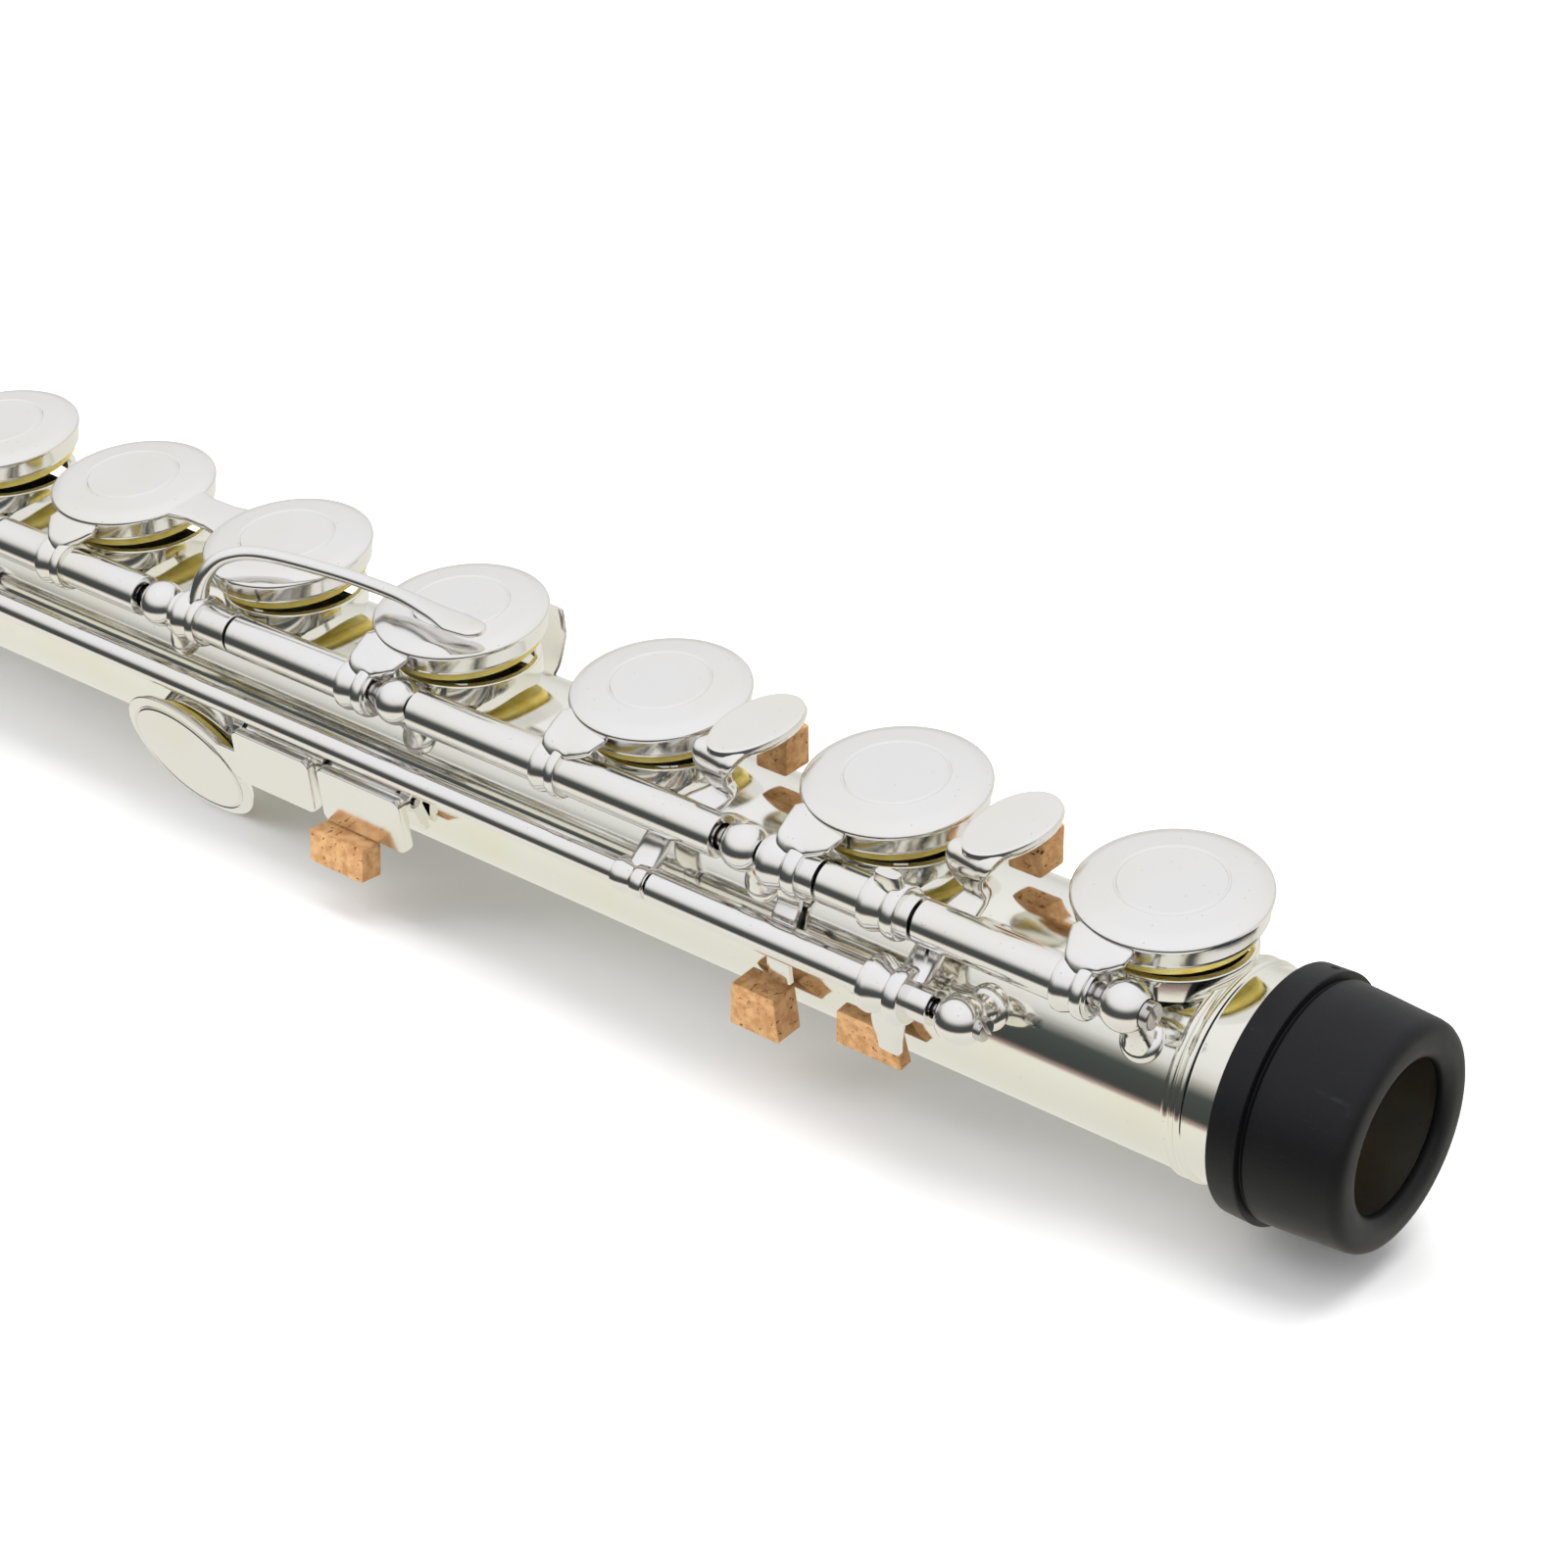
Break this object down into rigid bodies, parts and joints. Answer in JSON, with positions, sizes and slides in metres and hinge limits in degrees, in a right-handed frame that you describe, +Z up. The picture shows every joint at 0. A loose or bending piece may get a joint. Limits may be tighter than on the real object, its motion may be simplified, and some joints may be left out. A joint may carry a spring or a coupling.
{
  "type": "concert flute",
  "caption": "Concert flute: silver-plated body joint with hinged, padded keys on long rods, head joint with lip plate, and a black protector cap over the foot tenon.",
  "frame": {"origin": "middle of the underside of the whole flute's box, on the surface it lies on", "axes": "+X along the tube from the crown to the capped foot tenon, +Z up through the tone-hole cups, -Y the near side with the long hinge rods"},
  "size_m": [0.547, 0.0318, 0.032],
  "materials": {
    "silver_plate": "bright silver plate, faintly warm",
    "hinge_steel": "polished steel",
    "pad_skin": "amber bladder skin over felt",
    "cork": "cut cork, matte",
    "black_rubber": "matte moulded black"
  },
  "bodies": {
    "body_joint": {"body_tube": "silver_plate", "barrel": "silver_plate", "main_post_1": "silver_plate", "main_post_2": "silver_plate", "main_post_3": "silver_plate", "main_post_4": "silver_plate", "main_post_5": "silver_plate", "main_post_6": "silver_plate", "trill_post_1": "silver_plate", "trill_post_2": "silver_plate", "trill_post_3": "silver_plate", "thumb_posts": "silver_plate", "g_sharp_posts": "silver_plate", "left_hand_steel": "hinge_steel", "thumb_steel": "hinge_steel", "g_sharp_steel": "hinge_steel"},
    "head_joint": {"head_tube": "silver_plate", "lip_plate": "silver_plate"},
    "stopper": {"stopper_rod": "hinge_steel", "head_cork": "cork"},
    "crown_cap": {"crown": "silver_plate"},
    "cap": {"protector_cap": "black_rubber"},
    "key_d": {"d_key": "silver_plate", "d_pad": "pad_skin"},
    "key_e": {"e_key": "silver_plate", "e_pad": "pad_skin", "e_tail_cork": "cork"},
    "key_f": {"f_key": "silver_plate", "f_pad": "pad_skin"},
    "key_f_sharp": {"f_sharp_key": "silver_plate", "f_sharp_pad": "pad_skin", "adjusting_lug": "silver_plate", "right_hand_steel": "hinge_steel"},
    "key_g": {"g_key": "silver_plate", "upper_g_pad": "pad_skin", "lower_g_pad": "pad_skin"},
    "key_a": {"a_key": "silver_plate", "a_pad": "pad_skin"},
    "key_b_flat": {"b_flat_key": "silver_plate", "b_flat_pad": "pad_skin"},
    "key_c": {"c_key": "silver_plate", "c_pad": "pad_skin", "c_sharp_pad": "pad_skin"},
    "side_lever": {"b_flat_side_lever": "silver_plate"},
    "thumb_b": {"thumb_b_key": "silver_plate", "thumb_b_pad": "pad_skin"},
    "thumb_b_flat": {"thumb_b_flat_lever": "silver_plate", "thumb_b_flat_cork": "cork"},
    "d_trill": {"d_trill_key": "silver_plate", "d_trill_pad": "pad_skin", "d_touch_cork": "cork"},
    "d_sharp_trill": {"d_sharp_trill_touch": "silver_plate", "d_sharp_touch_cork": "cork", "d_sharp_tail_cork": "cork", "d_sharp_trill_cup": "silver_plate", "d_sharp_trill_pad": "pad_skin", "trill_steel": "hinge_steel"},
    "g_sharp": {"g_sharp_key": "silver_plate", "g_sharp_pad": "pad_skin"}
  },
  "joints": [
    {"name": "tuning_slide", "type": "slide", "parent": "body_joint", "child": "head_joint", "axis": [-1, 0, 0], "range_m": [0, 0.012]},
    {"name": "crown_turn", "type": "hinge", "parent": "head_joint", "child": "crown_cap", "pos_m": [-0.26298, 0.00023, 0.01333], "axis": [1, 0, 0], "range_deg": [-360, 360]},
    {"name": "stopper_slide", "type": "slide", "parent": "head_joint", "child": "stopper", "axis": [1, 0, 0], "range_m": [-0.001, 0.001]},
    {"name": "cap_slide", "type": "slide", "parent": "body_joint", "child": "cap", "axis": [1, 0, 0], "range_m": [0, 0.02]},
    {"name": "d_key_press", "type": "hinge", "parent": "body_joint", "child": "key_d", "pos_m": [0.24047, -0.01049, 0.02368], "axis": [-1, 0, 0], "range_deg": [0, 6], "stiffness_Nm_per_rad": 0.03, "springref_deg": -11.46},
    {"name": "e_key_press", "type": "hinge", "parent": "body_joint", "child": "key_e", "pos_m": [0.21382, -0.01049, 0.02368], "axis": [-1, 0, 0], "range_deg": [0, 6], "stiffness_Nm_per_rad": 0.03, "springref_deg": -11.46},
    {"name": "f_key_press", "type": "hinge", "parent": "body_joint", "child": "key_f", "pos_m": [0.18932, -0.01049, 0.02368], "axis": [-1, 0, 0], "range_deg": [0, 6], "stiffness_Nm_per_rad": 0.03, "springref_deg": -11.46},
    {"name": "f_sharp_key_press", "type": "hinge", "parent": "body_joint", "child": "key_f_sharp", "pos_m": [0.15488, -0.01049, 0.02368], "axis": [-1, 0, 0], "range_deg": [0, 6], "stiffness_Nm_per_rad": 0.03, "springref_deg": -11.46},
    {"name": "g_key_press", "type": "hinge", "parent": "body_joint", "child": "key_g", "pos_m": [0.11993, -0.01049, 0.02368], "axis": [-1, 0, 0], "range_deg": [0, 6], "stiffness_Nm_per_rad": 0.03, "springref_deg": -11.46},
    {"name": "a_key_press", "type": "hinge", "parent": "body_joint", "child": "key_a", "pos_m": [0.07733, -0.01049, 0.02368], "axis": [-1, 0, 0], "range_deg": [0, 6], "stiffness_Nm_per_rad": 0.03, "springref_deg": -11.46},
    {"name": "b_flat_key_press", "type": "hinge", "parent": "body_joint", "child": "key_b_flat", "pos_m": [0.09742, -0.01049, 0.02368], "axis": [-1, 0, 0], "range_deg": [0, 6], "stiffness_Nm_per_rad": 0.03, "springref_deg": -11.46},
    {"name": "c_key_press", "type": "hinge", "parent": "body_joint", "child": "key_c", "pos_m": [0.03753, -0.01049, 0.02368], "axis": [-1, 0, 0], "range_deg": [0, 6], "stiffness_Nm_per_rad": 0.03, "springref_deg": -11.46},
    {"name": "side_lever_press", "type": "hinge", "parent": "body_joint", "child": "side_lever", "pos_m": [0.14053, -0.01049, 0.02368], "axis": [-1, 0, 0], "range_deg": [0, 4.5], "stiffness_Nm_per_rad": 0.03, "springref_deg": -11.46},
    {"name": "thumb_b_press", "type": "hinge", "parent": "body_joint", "child": "thumb_b", "pos_m": [0.13683, -0.01117, 0.01352], "axis": [1, 0, 0], "range_deg": [0, 5], "stiffness_Nm_per_rad": 0.03, "springref_deg": -11.46},
    {"name": "thumb_b_flat_press", "type": "hinge", "parent": "body_joint", "child": "thumb_b_flat", "pos_m": [0.16307, -0.01117, 0.01352], "axis": [1, 0, 0], "range_deg": [0, 5], "stiffness_Nm_per_rad": 0.03, "springref_deg": -11.46},
    {"name": "d_trill_press", "type": "hinge", "parent": "body_joint", "child": "d_trill", "pos_m": [0.20583, -0.01316, 0.01742], "axis": [-1, 0, 0], "range_deg": [0, 5], "stiffness_Nm_per_rad": 0.03, "springref_deg": -11.46},
    {"name": "d_sharp_trill_press", "type": "hinge", "parent": "body_joint", "child": "d_sharp_trill", "pos_m": [0.23463, -0.01316, 0.01742], "axis": [-1, 0, 0], "range_deg": [0, 5], "stiffness_Nm_per_rad": 0.03, "springref_deg": -11.46},
    {"name": "g_sharp_press", "type": "hinge", "parent": "body_joint", "child": "g_sharp", "pos_m": [0.15912, 0.01163, 0.01352], "axis": [1, 0, 0], "range_deg": [0, 6], "stiffness_Nm_per_rad": 0.03, "springref_deg": -11.46}
  ],
  "couplings": [
    {"joint": "f_sharp_key_press", "follows": "f_key_press", "ratio": 1},
    {"joint": "b_flat_key_press", "follows": "a_key_press", "ratio": 1},
    {"joint": "stopper_slide", "follows": "crown_turn", "m_per_rad": 0.000159}
  ]
}
